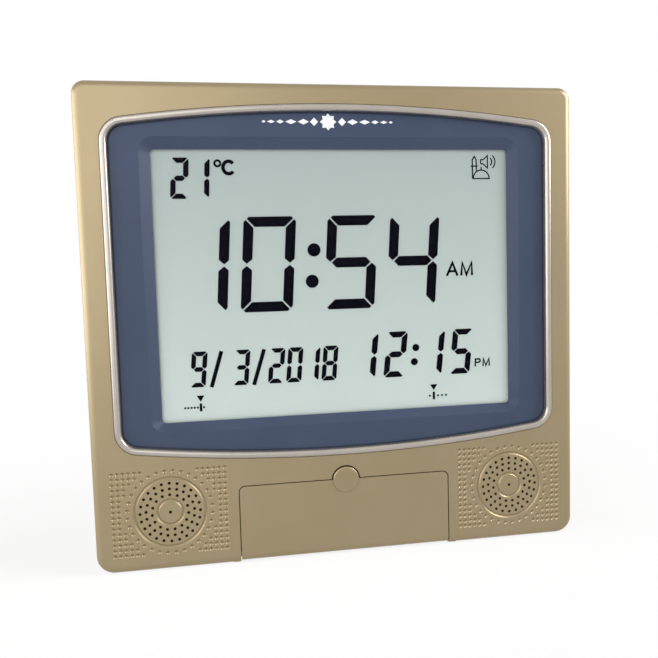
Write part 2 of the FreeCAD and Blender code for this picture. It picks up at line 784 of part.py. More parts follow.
def door_profile():
    """The door's section: a flat plate that curls back under the hinge line."""
    inner = KNUCKLE_R - DOOR_THICK
    across = HINGE_DEPTH

    def spot(depth, z):
        return at(-DOOR_HALF, depth, z)

    return Part.Wire([
        Part.makeLine(spot(0, DOOR_TOP), spot(0, HINGE_Z)),
        arc([spot(0, HINGE_Z), spot(across, HINGE_Z - KNUCKLE_R), spot(across + KNUCKLE_R, HINGE_Z)]),
        Part.makeLine(spot(across + KNUCKLE_R, HINGE_Z), spot(across + inner, HINGE_Z)),
        arc([spot(across + inner, HINGE_Z), spot(across, HINGE_Z - inner), spot(across - inner, HINGE_Z)]),
        Part.makeLine(spot(DOOR_THICK, HINGE_Z), spot(DOOR_THICK, DOOR_TOP)),
        Part.makeLine(spot(DOOR_THICK, DOOR_TOP), spot(0, DOOR_TOP)),
    ])


@part("settings_door")
def settings_door():
    plate = Part.Face(door_profile()).extrude(V(2 * DOOR_HALF, 0, 0))
    outline = slab((-DOOR_HALF, DOOR_HALF), (-1, DOOR_TOP), (0.01, DOOR_CORNER), (-1, 10))
    plate = plate.common(outline)
    lug = DOOR_HALF - 3.0
    added = [latch_post(), finger_tab()]
    for side in (-1, 1):
        added.append(cross_rod(HINGE_DEPTH, HINGE_Z, KNUCKLE_R - 0.4, mirrored(side, lug, DOOR_HALF)))
        pivot = mirrored(side, DOOR_HALF - 1, DOOR_HALF + PIVOT_REACH)
        added.append(cross_rod(HINGE_DEPTH, HINGE_Z, PIVOT_R, pivot))
    added += [block((x - 0.7, x + 0.7), (HINGE_Z + 3, DOOR_TOP - 4), (DOOR_THICK - 0.2, DOOR_THICK + 0.3))
              for x in (-34.0, -17.0, 17.0, 34.0)]
    return fused([plate] + added)


def latch_post():
    """The catch behind the top of the door, a post with a step at its end."""
    post = block((-3.0, 3.0), (34.4, 36.2), (DOOR_THICK - 0.5, 6.5))
    barb = block((-3.0, 3.0), (36.0, 36.6), (5.2, 6.5))
    return post.fuse(barb)


def finger_tab():
    """A round tab whose face leans out towards its top, with four grip ribs."""
    lean = (TAB_FRONT_LOW + RING_RISE) / (2 * TAB_R)
    reach = TAB_R + 1.0
    corners = [at(-reach, DOOR_THICK, TAB_Z - reach), at(-reach, DOOR_THICK, TAB_Z + reach)]
    corners += [at(-reach, (TAB_FRONT_LOW - RING_RISE) / 2 - up * lean, TAB_Z + up) for up in (reach, -reach)]
    wedge = Part.Face(Part.makePolygon(corners + corners[:1])).extrude(V(2 * reach, 0, 0))
    disc = wedge.common(rod(0, TAB_Z, TAB_R, (-3, DOOR_THICK)))
    rim = [edge for edge in disc.Edges if edge.BoundBox.YMax < FRONT_Y + 0.5 and edge.Length > 4 * TAB_R]
    disc = disc.makeFillet(TAB_ROUND, rim)
    ribs = []
    for step in range(4):
        x = 1.9 * (step - 1.5)
        ribs.append(block((x - 0.35, x + 0.35), (TAB_Z + 0.6, TAB_Z + 3.6), (-0.92, 0.5)))
    return fused([disc] + ribs)


# Keys


@part("key_panel")
def key_panel():
    """The dark plate on the floor of the recess, with a hole for each key."""
    front = RECESS_FLOOR - PANEL_PLATE
    plate = slab((-PANEL_HALF, PANEL_HALF), (PANEL_LOW, PANEL_HIGH), (3.0, 3.0), (front, RECESS_FLOOR))
    plate = plate.makeFillet(0.5, edges_at(plate, front))
    holes = [key_outline(x, KEY_CLEAR, (front - 1, RECESS_FLOOR + 1)) for x in key_places().values()]
    return plate.cut(holes)


def key(x):
    """One key cap, with the flange behind the floor that keeps it in."""
    back = RECESS_FLOOR + RECESS_WALL + 0.3
    cap = key_outline(x, 0, (KEY_FRONT, back))
    cap = cap.makeFillet(0.8, edges_at(cap, KEY_FRONT))
    flange = key_outline(x, KEY_FLANGE, (back, back + 1.0))
    return fused([cap, flange])


def key_maker(x):
    return lambda: key(x)


for key_name, key_x in key_places().items():
    PARTS["key_" + key_name] = key_maker(key_x)


@part("key_mat")
def key_mat():
    """The rubber sheet with a low dome behind each key."""
    front = KEY_BOARD_FRONT - 0.8
    sheet = slab((-MAT_HALF, MAT_HALF), (16.0, 38.0), (2.0, 2.0), (front, KEY_BOARD_FRONT))
    domes = [cone(x, KEY_Z, (2.2, 3.4), (front - 1.0, front)) for x in key_places().values()]
    return fused([sheet] + domes)


@part("key_board")
def key_board():
    board = slab((-50.0, 50.0), (14.0, 40.0), (1.5, 1.5), (KEY_BOARD_FRONT, KEY_BOARD_BACK))
    return board.cut([rod(x, z, 1.3, (KEY_BOARD_FRONT - 1, KEY_BOARD_BACK + 1)) for x, z in KEY_POSTS])


@part("key_board_screws")
def key_board_screws():
    return [screw(x, z, KEY_BOARD_BACK, RECESS_FLOOR + 1.6, 2.3, 1.0) for x, z in KEY_POSTS]


# Back cover


def bay_aperture(grow):
    """The hatch's outline in X and Z, grown by that much."""
    edge = HATCH_EDGE + grow
    return (BAY_X[0] - edge, BAY_X[1] + edge), (BAY_Z[0] - edge, BAY_Z[1] + edge)


def keyhole(x):
    hole = rod(x, KEYHOLE_Z, KEYHOLE_R, (COVER_INSIDE - 1, CASE_DEPTH + 1))
    top = KEYHOLE_Z + KEYHOLE_RISE
    depth = (COVER_INSIDE - 1, CASE_DEPTH + 1)
    neck = block((x - KEYHOLE_SLOT, x + KEYHOLE_SLOT), (KEYHOLE_Z, top - KEYHOLE_SLOT), depth)
    return [hole, neck, rod(x, top - KEYHOLE_SLOT, KEYHOLE_SLOT, depth)]


def keyhole_box(x):
    """The closed pocket behind a keyhole, where the screw's head goes."""
    outer = block((x - 7.6, x + 7.6), (KEYHOLE_Z - 7.4, KEYHOLE_Z + 13.4), (25.2, COVER_INSIDE + 0.5))
    inner = block((x - 6.4, x + 6.4), (KEYHOLE_Z - 6.2, KEYHOLE_Z + 12.2), (26.4, COVER_INSIDE))
    return outer, inner


def vents(side):
    """Sound slots behind one speaker."""
    slots = []
    for step in range(VENT_SLOTS):
        z = SPEAKER_Z + 4.0 + VENT_PITCH * (step - (VENT_SLOTS - 1) / 2)
        reach = VENT_HALF - 0.9 * abs(step - (VENT_SLOTS - 1) / 2) ** 1.5
        x = side * SPEAKER_X
        span = (x - reach, x + reach)
        slots.append(slab(span, (z - 1.0, z + 1.0), (0.99, 0.99), (COVER_INSIDE - 1, CASE_DEPTH + 1)))
    return slots


@part("back_cover")
def back_cover():
    outer = case_slab(0, (PARTING, CASE_DEPTH))
    outer = outer.makeFillet(BACK_EDGE_ROUND, edges_at(outer, CASE_DEPTH))
    shell = outer.cut([
        case_slab(LIP_INNER, (PARTING - 1, RIM_END)),
        case_slab(COVER_WALL, (RIM_END, COVER_INSIDE)),
    ])
    lip = case_slab(LIP_OUTER, (PARTING - LIP_DEPTH, PARTING + 0.5))
    lip = lip.cut(case_slab(LIP_INNER, (PARTING - LIP_DEPTH - 1, PARTING + 1)))
    recess_half = STAND_HALF + STAND_GAP
    recess_top = STAND_AXIS_Z + STAND_BARREL + STAND_GAP
    wall = 2.0
    added = [lip]
    added += [rod(x, z, TUBE_R, (PARTING, CASE_DEPTH - 0.6)).common(case_slab(0.1, (PARTING, CASE_DEPTH)))
              for x, z in COVER_SCREWS]
    added.append(block((-recess_half - wall, recess_half + wall), (1.0, recess_top + wall),
                       (STAND_FLOOR - wall, COVER_INSIDE + 0.5)))
    bay_x = (BAY_X[0] - BAY_EDGE, BAY_X[1] + BAY_EDGE)
    bay_z = (BAY_Z[0] - BAY_EDGE, BAY_Z[1] + BAY_EDGE)
    added.append(block(bay_x, bay_z, (BAY_FLOOR - BAY_WALL, COVER_INSIDE + 0.5)))
    added += [keyhole_box(side * KEYHOLE_X)[0] for side in (-1, 1)]
    shell = fused([shell] + added)
    removed = [block((-recess_half, recess_half), (-1, recess_top), (STAND_FLOOR, CASE_DEPTH + 1))]
    removed.append(cross_rod(STAND_AXIS_DEPTH, STAND_AXIS_Z, STAND_PIN_R + 0.05,
                             (-recess_half - 1.6, recess_half + 1.6)))
    removed.append(block(BAY_X, BAY_Z, (BAY_FLOOR, CASE_DEPTH + 1)))
    hatch_x, hatch_z = bay_aperture(0)
    removed.append(slab(hatch_x, hatch_z, (1.5, 1.5), (COVER_INSIDE, CASE_DEPTH + 1)))
    barrel_front = HATCH_AXIS_DEPTH - HATCH_BARREL - 0.3
    removed.append(block(hatch_x, (hatch_z[0], BAY_Z[0] + 1), (barrel_front, CASE_DEPTH)))
    pin_reach = HATCH_PIN_REACH - HATCH_GAP + 0.2
    removed.append(cross_rod(HATCH_AXIS_DEPTH, HATCH_AXIS_Z, HATCH_PIN_R + PIVOT_CLEAR,
                             (hatch_x[0] - pin_reach, hatch_x[1] + pin_reach)))
    latch_x = sum(BAY_X) / 2
    removed.append(slab((latch_x - 8, latch_x + 8), (hatch_z[1] - 2, hatch_z[1] + 5), (0.5, 5.0),
                        (COVER_INSIDE + 0.9, CASE_DEPTH + 1)))
    removed += [rod(x, z, TUBE_BORE, (TUBE_FLOOR, CASE_DEPTH + 1)) for x, z in COVER_SCREWS]
    removed += [rod(x, z, 1.7, (PARTING - 1, TUBE_FLOOR + 1)) for x, z in COVER_SCREWS]
    for side in (-1, 1):
        removed.append(keyhole_box(side * KEYHOLE_X)[1])
        removed += keyhole(side * KEYHOLE_X)
        removed += vents(side)
    removed.append(rod(JACK_X, JACK_Z, JACK_NOZZLE + 0.15, (COVER_INSIDE - 1, CASE_DEPTH + 1)))
    removed.append(slab(LABEL_X, LABEL_Z, (2.0, 2.0), (CASE_DEPTH - LABEL_SINK, CASE_DEPTH + 1)))
    return shell.cut(removed)


@part("cover_screws")
def cover_screws():
    return [screw(x, z, TUBE_FLOOR, 9.0, SCREW_HEAD_R, SCREW_R) for x, z in COVER_SCREWS]


@part("power_jack")
def power_jack():
    """The low voltage inlet, with its centre pin inside the bore."""
    body = block((JACK_X - 4.5, JACK_X + 4.5), (JACK_Z - 5.5, JACK_Z + 5.5), (JACK_FRONT, COVER_INSIDE))
    nozzle = rod(JACK_X, JACK_Z, JACK_NOZZLE, (COVER_INSIDE - 0.5, CASE_DEPTH))
    bore = rod(JACK_X, JACK_Z, 2.8, (25.5, CASE_DEPTH + 1))
    pin = rod(JACK_X, JACK_Z, 1.0, (25.0, CASE_DEPTH - 1.5))
    pin = pin.makeFillet(0.6, edges_at(pin, CASE_DEPTH - 1.5))
    return fused([fused([body, nozzle]).cut(bore), pin])


# Stand


@part("rear_stand")
def rear_stand():
    """A leg that hangs from its pin, narrower towards its foot and stiffened by a rim."""
    back = STAND_FRONT + STAND_THICK
    outline = [(-STAND_HALF, STAND_AXIS_Z), (-STAND_HALF, STAND_SHOULDER_Z), (-STAND_FOOT_HALF, STAND_FOOT)]
    outline += [(-x, z) for x, z in reversed(outline)]
    corners = [at(x, STAND_FRONT, z) for x, z in outline]
    leaf = Part.Face(Part.makePolygon(corners + corners[:1])).extrude(V(0, STAND_THICK, 0))
    inset = [(-STAND_HALF + 4, STAND_AXIS_Z - 8), (-STAND_HALF + 4, STAND_SHOULDER_Z + 0.6)]
    inset.append((-STAND_FOOT_HALF + 3.4, STAND_FOOT + 5))
    inset += [(-x, z) for x, z in reversed(inset)]
    corners = [at(x, back - 1.0, z) for x, z in inset]
    hollow = Part.Face(Part.makePolygon(corners + corners[:1])).extrude(V(0, 2, 0))
    ribs = [block((x - 0.8, x + 0.8), (STAND_FOOT + 3, STAND_AXIS_Z - 6), (back - 1.2, back))
            for x in (-10.0, 10.0)]
    barrel = cross_rod(STAND_AXIS_DEPTH, STAND_AXIS_Z, STAND_BARREL, (-STAND_HALF, STAND_HALF))
    bore = cross_rod(STAND_AXIS_DEPTH, STAND_AXIS_Z, STAND_PIN_R + STAND_PIN_CLEAR, (-40, 40))
    foot_x = (-STAND_FOOT_HALF, STAND_FOOT_HALF)
    foot = cross_rod(STAND_FRONT + STAND_THICK / 2, STAND_FOOT, STAND_THICK / 2, foot_x)
    return fused([leaf.cut(hollow), barrel, foot] + ribs).cut(bore)


@part("stand_pin")
def stand_pin():
    reach = STAND_HALF + STAND_GAP + 1.5
    return cross_rod(STAND_AXIS_DEPTH, STAND_AXIS_Z, STAND_PIN_R, (-reach, reach))


# Batteries


def hatch_profile(x, front, top):
    """The hatch's section at x: a flat plate that rolls round its hinge line."""
    turn = math.acos((front - HATCH_AXIS_DEPTH) / HATCH_BARREL)

    def spot(depth, z):
        return at(x, depth, z)

    def rim(angle):
        return spot(HATCH_AXIS_DEPTH + HATCH_BARREL * math.cos(angle),
                    HATCH_AXIS_Z + HATCH_BARREL * math.sin(angle))

    return Part.Wire([
        Part.makeLine(spot(front, top), spot(CASE_DEPTH, top)),
        Part.makeLine(spot(CASE_DEPTH, top), rim(0)),
        arc([rim(0), rim(-math.pi / 2), rim(-math.pi)]),
        arc([rim(-math.pi), rim((turn + math.pi) / 2), rim(turn)]),
        Part.makeLine(rim(turn), spot(front, top)),
    ])


@part("battery_hatch")
def battery_hatch():
    """The bay's lid, with a round lower edge that turns on a pin at each end and a sprung catch above."""
    x, z = bay_aperture(-HATCH_GAP)
    front = CASE_DEPTH - HATCH_THICK
    plate = Part.Face(hatch_profile(x[0], front, z[1])).extrude(V(x[1] - x[0], 0, 0))
    plate = plate.common(slab(x, (z[0] - 5, z[1]), (0.01, 1.2), (CASE_DEPTH - 10, CASE_DEPTH + 1)))
    middle = sum(BAY_X) / 2
    pins = [cross_rod(HATCH_AXIS_DEPTH, HATCH_AXIS_Z, HATCH_PIN_R, (low, low + HATCH_PIN_REACH + 1))
            for low in (x[0] - HATCH_PIN_REACH, x[1] - 1)]
    slits = [block((slit_x - 0.4, slit_x + 0.4), (z[1] - 12, z[1] + 1), (front - 1, CASE_DEPTH + 1))
             for slit_x in (middle - 6.5, middle + 6.5)]
    grooves = [block((middle - 5, middle + 5), (z[1] - 9.5 + 1.6 * step, z[1] - 8.9 + 1.6 * step),
                     (CASE_DEPTH - 0.4, CASE_DEPTH + 1)) for step in range(5)]
    return fused([plate] + pins).cut(slits + grooves)


def battery(index):
    """One AA cell. Each lies the other way round from the next."""
    z = CELL_Z[index]
    if index % 2:
        body = cross_rod(CELL_DEPTH, z, CELL_R, (CELL_LEFT + NUB_RISE, CELL_RIGHT))
        nub = cross_rod(CELL_DEPTH, z, NUB_R, (CELL_LEFT, CELL_LEFT + NUB_RISE + 0.5))
    else:
        body = cross_rod(CELL_DEPTH, z, CELL_R, (CELL_LEFT, CELL_RIGHT - NUB_RISE))
        nub = cross_rod(CELL_DEPTH, z, NUB_R, (CELL_RIGHT - NUB_RISE - 0.5, CELL_RIGHT))
    body = body.makeFillet(0.6, body.Edges)
    return fused([body, nub])


def battery_maker(index):
    return lambda: battery(index)


for cell in range(len(CELL_Z)):
    PARTS["battery_" + str(cell + 1)] = battery_maker(cell)


@part("battery_contacts")
def battery_contacts():
    """A plate with a sprung bump at each end of each cell."""
    contacts = []
    for z in CELL_Z:
        for wall, face in ((BAY_X[0], CELL_LEFT), (BAY_X[1], CELL_RIGHT)):
            inward = 1 if face > wall else -1
            plate = (min(wall, wall + 0.4 * inward), max(wall, wall + 0.4 * inward))
            bump = (min(wall, face), max(wall, face))
            contacts.append(fused([
                block(plate, (z - 6, z + 6), (CELL_DEPTH - 6, CELL_DEPTH + 6)),
                cross_rod(CELL_DEPTH, z, 2.0, bump),
            ]))
    return contacts


# Leads inside the casing


def speaker_lead(side):
    """From the speaker's terminal, up inside the casing's side, to its socket on the main board."""
    level = BOARD_BACK + PLUG_DEPTH / 2
    route = [(SPEAKER_X, 9.2, 41.0), (SPEAKER_X, 17.5, 41.0), (92.0, 20.5, 48.0), (104.0, 19.0, 62.0)]
    route += [(107.0, 18.4, 86.0), (107.4, 18.6, 112.0), (104.0, level, 131.0), (91.0, level, 140.0)]
    route += [(PLUG_X[3] + 4, level, 140.0)]
    return lead([(side * x, depth, z) for x, depth, z in route], 1.0)


for side_name, side in (("left", -1), ("right", 1)):
    PARTS["speaker_lead_" + side_name] = side_maker(speaker_lead, side)


@part("battery_lead")
def battery_lead():
    top = BAY_Z[1] + BAY_EDGE
    plug = (PLUG_X[2], BOARD_BACK + PLUG_DEPTH / 2)
    route = [(plug[0] + 2, 20.0, top), (plug[0] + 2, 20.0, top + 4), (*plug, top + 7.5), (*plug, PLUG_Z[0])]
    return lead(route, 0.9)


@part("key_lead")
def key_lead():
    """From the key board, up behind the display, to its socket on the main board."""
    plug = (PLUG_X[1], BOARD_BACK + PLUG_DEPTH / 2)
    route = [(0, KEY_BOARD_BACK, 34.0), (0, 24.4, 34.0), (1.0, 25.6, 42.0), (0.6, 25.0, 56.0)]
    route += [(0, 23.5, 80.0), (-0.6, 21.5, 106.0), (*plug, 125.0), (*plug, PLUG_Z[0])]
    return lead(route, 1.2)


# Writing the pieces


def write(name, made):
    """One file for each piece, and for fasteners one file for the whole set."""
    solids = made if isinstance(made, list) else [made]
    whole = []
    for shape in solids:
        whole.extend(shape.Solids)
    if len(whole) != len(solids):
        print("  CHECK", name, "has", len(whole), "solids for", len(solids), "pieces")
    for solid in whole:
        if not solid.isValid():
            print("  CHECK", name, "is not valid")
    shape = whole[0] if len(whole) == 1 else Part.makeCompound(whole)
    shape.exportStep("parts/" + name + ".step")
    box = shape.BoundBox
    print(name, round(box.XLength, 2), round(box.YLength, 2), round(box.ZLength, 2))


os.makedirs("parts", exist_ok=True)
for part_name, maker in PARTS.items():
    write(part_name, maker())
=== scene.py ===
"""Looks for the azan clock: finishes for every CAD node, the figures that the display shows, the
printed marks, the studio floor, the lights and the camera."""
import math

import bmesh
import bpy
from mathutils import Matrix, Vector


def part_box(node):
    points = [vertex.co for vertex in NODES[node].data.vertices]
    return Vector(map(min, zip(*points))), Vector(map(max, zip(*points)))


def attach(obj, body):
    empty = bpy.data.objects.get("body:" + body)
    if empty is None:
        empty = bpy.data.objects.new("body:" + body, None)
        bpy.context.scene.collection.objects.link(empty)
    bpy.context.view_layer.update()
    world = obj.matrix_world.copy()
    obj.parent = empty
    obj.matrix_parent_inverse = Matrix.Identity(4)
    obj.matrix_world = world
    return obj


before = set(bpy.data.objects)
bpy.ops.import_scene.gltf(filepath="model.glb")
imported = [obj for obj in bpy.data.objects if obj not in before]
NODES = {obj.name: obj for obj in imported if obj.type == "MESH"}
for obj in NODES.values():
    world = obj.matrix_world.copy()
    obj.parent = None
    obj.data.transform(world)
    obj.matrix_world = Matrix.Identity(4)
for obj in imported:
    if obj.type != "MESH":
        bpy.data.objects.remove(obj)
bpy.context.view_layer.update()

# A millimetre and a micrometre in metres.
MM = 0.001
UM = 1e-6

# The depth of the casing's front face, in millimetres.
FRONT = -17.0


def metres(*millimetres):
    """A point or a size given in millimetres."""
    return Vector(millimetres) * MM


# Materials

def linear(code):
    """The linear colour of an sRGB hex value."""
    parts = [int(code[i:i + 2], 16) / 255 for i in (1, 3, 5)]
    return [p / 12.92 if p <= 0.04045 else ((p + 0.055) / 1.055) ** 2.4 for p in parts] + [1.0]


def add(tree, kind, inputs=None, **settings):
    """Adds a node: settings are its own choices, and each input is a value or another node's output."""
    node = tree.nodes.new(kind)
    for name, value in settings.items():
        setattr(node, name, value)
    for name, value in (inputs or {}).items():
        if isinstance(value, bpy.types.NodeSocket):
            tree.links.new(value, node.inputs[name])
        else:
            node.inputs[name].default_value = value
    return node


def per_metre(size_mm):
    """The scale of a noise whose lumps are that many millimetres apart."""
    return 1000.0 / size_mm


# The middle part of a noise's values, which is spread over the whole range asked for.
CLOUD_LOW, CLOUD_HIGH = 0.3, 0.7

# A colour mix node's sockets: its two colours in and its colour out.
MIX_FIRST, MIX_SECOND, MIX_RESULT = 6, 7, 2

# The size of the patches of gloss, as a share of the size of the patches of colour.
GLOSS_PATCH = 0.35


def begin(name):
    """An empty material, with its output node and the place on the piece."""
    material = bpy.data.materials.new(name)
    material.use_nodes = True
    tree = material.node_tree
    tree.nodes.clear()
    place = add(tree, "ShaderNodeTexCoord").outputs["Object"]
    out = add(tree, "ShaderNodeOutputMaterial")
    return material, tree, place, out


def noise(tree, place, size_mm, low=0.0, high=1.0):
    """Lumps of one size, spread over low to high."""
    cloud = add(tree, "ShaderNodeTexNoise", {"Vector": place, "Scale": per_metre(size_mm)})
    return add(tree, "ShaderNodeMapRange",
               {"Value": cloud.outputs["Fac"], "From Min": CLOUD_LOW, "From Max": CLOUD_HIGH,
                "To Min": low, "To Max": high}).outputs["Result"]


def blended(tree, factor, first, second):
    """A colour between two, by a factor."""
    return add(tree, "ShaderNodeMix", {"Factor": factor, MIX_FIRST: first, MIX_SECOND: second},
               data_type="RGBA").outputs[MIX_RESULT]


def looked_at(tree):
    """1 on a ray from the eye, straight, mirrored or through glass, and 0 on the light that falls on
    the clock."""
    ray = add(tree, "ShaderNodeLightPath").outputs
    mirrored = add(tree, "ShaderNodeMath", {0: ray["Is Camera Ray"], 1: ray["Is Glossy Ray"]},
                   operation="MAXIMUM").outputs[0]
    return add(tree, "ShaderNodeMath", {0: mirrored, 1: ray["Is Transmission Ray"]},
               operation="MAXIMUM").outputs[0]


def finish(name, dark, light, patch_mm, rough, grain_mm, grain_um, metallic=0.0, **shader):
    """One surface: two close colours in soft patches, a roughness range and a fine moulded grain."""
    material, tree, place, out = begin(name)
    patches = noise(tree, place, patch_mm)
    gloss = noise(tree, place, patch_mm * GLOSS_PATCH, low=rough[0], high=rough[1])
    grain = noise(tree, place, grain_mm)
    bump = add(tree, "ShaderNodeBump", {"Height": grain, "Strength": 1.0, "Distance": grain_um * UM})
    values = {"Base Color": blended(tree, patches, linear(dark), linear(light)),
              "Roughness": gloss, "Metallic": metallic, "Normal": bump.outputs["Normal"]}
    values.update({key.replace("_", " ").title().replace("Ior", "IOR"): value
                   for key, value in shader.items()})
    skin = add(tree, "ShaderNodeBsdfPrincipled", values)
    tree.links.new(skin.outputs["BSDF"], out.inputs["Surface"])
    return material


# Moulded ABS sprayed with champagne metallic lacquer: warm, satin, with the faint sparkle and the
# slight unevenness of a sprayed coat.
GOLD = finish("abs_sprayed_champagne_lacquer", "#968769", "#998A6D", 30.0, (0.40, 0.42), 0.55, 7.0,
              metallic=0.72)

# Moulded ABS with silver lacquer: a brighter, smoother bead than the case.
SILVER = finish("abs_silver_lacquer", "#A8A199", "#AEA79F", 15.0, (0.27, 0.31), 0.6, 0.15,
                metallic=0.75)

# Slate blue ABS from a finely etched mould: satin, almost even in colour.
SLATE = finish("abs_etched_slate_blue", "#39445A", "#3D485E", 30.0, (0.40, 0.46), 0.35, 4.0,
               specular_ior_level=0.25)


def lcd_finish():
    """Liquid crystal cell seen through its front polariser: grey green, with painted shade that makes it
    darker above and paler below."""
    low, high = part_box("lcd_glass")
    material, tree, place, out = begin("lcd_cell_polarised_glass")
    height = add(tree, "ShaderNodeSeparateXYZ", {"Vector": place}).outputs["Z"]
    rise = add(tree, "ShaderNodeMapRange", {"Value": height, "From Min": low.z, "From Max": high.z})
    # Painted shade: by height, the colour runs from pale at the bottom to a darker grey green at the
    # top, standing in for how light falls on the cell.
    painted_shade_ramp = add(tree, "ShaderNodeValToRGB", {"Fac": rise.outputs["Result"]})
    stops = painted_shade_ramp.color_ramp.elements
    stops[0].position, stops[0].color = 0.0, linear("#D5DED9")
    stops[1].position, stops[1].color = 1.0, linear("#B2BBB8")
    stops.new(0.45).color = linear("#C5CECA")
    haze = noise(tree, place, 16.0, low=0.0, high=0.1)
    colour = blended(tree, haze, painted_shade_ramp.outputs["Color"], linear("#BCC5C2"))
    skin = add(tree, "ShaderNodeBsdfPrincipled",
               {"Base Color": colour, "Roughness": 0.55, "Specular IOR Level": 0.1})
    tree.links.new(skin.outputs["BSDF"], out.inputs["Surface"])
    return material


def window_finish():
    """Clear cast acrylic with a coat against glare: it lets the display through and keeps only a trace
    of gloss."""
    material, tree, place, out = begin("acrylic_cast_clear")
    rub = noise(tree, place, 9.0, low=0.03, high=0.07)
    gloss = add(tree, "ShaderNodeBsdfGlossy", {"Color": linear("#FFFFFF"), "Roughness": rub})
    clear = add(tree, "ShaderNodeBsdfTransparent", {"Color": linear("#FEFFFF")})
    share = add(tree, "ShaderNodeFresnel", {"IOR": 1.06}).outputs["Fac"]
    both = add(tree, "ShaderNodeMixShader",
               {"Fac": share, 1: clear.outputs["BSDF"], 2: gloss.outputs["BSDF"]})
    tree.links.new(both.outputs["Shader"], out.inputs["Surface"])
    return material


BY_SLOT = {
    "gold_case": GOLD,
    "silver_trim": SILVER,
    "slate_panel": SLATE,
    "clear_window": window_finish(),
    "lcd_cell": lcd_finish(),
    # Polished acrylic sheet, faintly blue at its edges.
    "light_sheet": finish("acrylic_polished_light_guide", "#E2ECEC", "#EAF2F1", 12.0, (0.08, 0.14),
                          0.8, 1.0, transmission_weight=0.3),
    # White polyester film, soft and dry.
    "white_sheet": finish("polyester_white_film", "#ECEDEA", "#F3F3F0", 18.0, (0.5, 0.6), 0.5, 3.0),
    # Glass epoxy board under green solder mask: glossy, with the weave just showing.
    "board_green": finish("glass_epoxy_green_mask", "#14502B", "#1A5E35", 4.0, (0.22, 0.34), 0.9, 12.0,
                          coat_weight=0.4, coat_roughness=0.15),
    # Silicone rubber with fine carbon layers: pink grey and dull.
    "zebra_rubber": finish("silicone_zebra_strip", "#8A5A5A", "#D8A6A2", 0.4, (0.6, 0.7), 0.3, 8.0),
    # White moulded nylon and film: slightly warm, with a light mould grain.
    "white_plastic": finish("abs_moulded_white", "#DADAD4", "#E4E4DF", 16.0, (0.42, 0.52), 0.45, 9.0),
    # Epoxy moulding compound: charcoal, dry and finely pitted.
    "black_resin": finish("epoxy_moulded_black", "#1B1B1D", "#242427", 3.0, (0.5, 0.65), 0.25, 14.0),
    # Nickel plated steel: bright, with the soft ripple of rolled sheet.
    "bright_metal": finish("steel_nickel_plated", "#C9C6BF", "#D6D3CC", 6.0, (0.16, 0.26), 1.2, 3.0,
                           metallic=1.0),
    # Zinc plated steel: grey, slightly mottled.
    "screw_steel": finish("steel_zinc_plated", "#9A9C9E", "#AEB0B2", 1.6, (0.3, 0.42), 0.4, 5.0,
                          metallic=1.0),
    # Silicone rubber keypad: pale, dull and a little dusty.
    "key_rubber": finish("silicone_moulded_pale", "#C4C4BF", "#D0D0CB", 7.0, (0.62, 0.74), 0.4, 9.0,
                         sheen_weight=0.2),
    # Light grey ABS keys: satin, finely etched.
    "key_cap": finish("abs_moulded_light_grey", "#C2C3C5", "#CBCCCE", 8.0, (0.38, 0.48), 0.4, 8.0),
    # Shrunk film around a dry cell: deep blue and shiny.
    "cell_wrap": finish("film_wrap_deep_blue", "#1D335E", "#223B6A", 9.0, (0.2, 0.3), 1.5, 5.0,
                        coat_weight=0.5, coat_roughness=0.12),
    # Pressed paper pulp: black, fibrous and matt.
    "speaker_paper": finish("paper_pulp_black", "#141414", "#1E1E1E", 2.0, (0.8, 0.92), 0.5, 30.0),
    # Sintered ferrite behind a zinc plated steel cup.
    "magnet": finish("ferrite_and_plated_steel", "#55565A", "#66676B", 4.0, (0.4, 0.55), 0.5, 12.0,
                     metallic=0.8),
    # Soft black wire jacket.
    "lead_jacket": finish("pvc_black_jacket", "#161616", "#202020", 5.0, (0.42, 0.55), 0.5, 6.0),
}

# Dark liquid crystal bars: near black with a violet cast, faintly uneven.
BAR = finish("lcd_dark_segment", "#07060F", "#0B0914", 3.0, (0.4, 0.5), 0.5, 1.0,
             specular_ior_level=0.02)
# White pad printing ink: opaque, slightly raised at the grain of the plastic.
INK = finish("pad_printed_white_ink", "#E9EAEE", "#F1F2F5", 2.5, (0.45, 0.55), 0.3, 3.0)
# Dark grey pad printing ink on the keys.
KEY_INK = finish("pad_printed_grey_ink", "#33363D", "#3B3E46", 2.5, (0.45, 0.55), 0.3, 3.0)


def dress():
    """Gives each CAD node the finish of its material slot in the record."""
    for thing in NODES.values():
        slot = thing.data.materials[0].name.split(".")[0]
        thing.data.materials.clear()
        thing.data.materials.append(BY_SLOT[slot])
        for face in thing.data.polygons:
            face.material_index = 0


dress()


# Flat marks: display bars and print

# A stroke's corner reaches out no further than its half width divided by this.
SHARPEST = 0.45


def band(path, width):
    """The outline of a stroke of even width along a path of points."""
    sides = [], []
    for i, here in enumerate(path):
        before = Vector(path[max(i - 1, 0)])
        after = Vector(path[min(i + 1, len(path) - 1)])
        here = Vector(here)
        into = (here - before).normalized() if i else (after - here).normalized()
        out = (after - here).normalized() if i < len(path) - 1 else into
        mitre = (into + out).normalized() if (into + out).length > 1e-6 else into
        reach = width / 2 / max(mitre.dot(into), SHARPEST)
        across = Vector((-mitre.y, mitre.x)) * reach
        sides[0].append(here + across)
        sides[1].append(here - across)
    return [tuple(p) for p in sides[0] + sides[1][::-1]]


def bow(across, up, radius, start, end, steps=24, squash=1.0):
    """Points along part of a circle, in degrees; squash narrows it."""
    turns = [math.radians(start + (end - start) * i / steps) for i in range(steps + 1)]
    return [(across + radius * squash * math.cos(t), up + radius * math.sin(t)) for t in turns]


def disc(across, up, radius):
    """The outline of a round dot."""
    return bow(across, up, radius, 0, 360)[:-1]


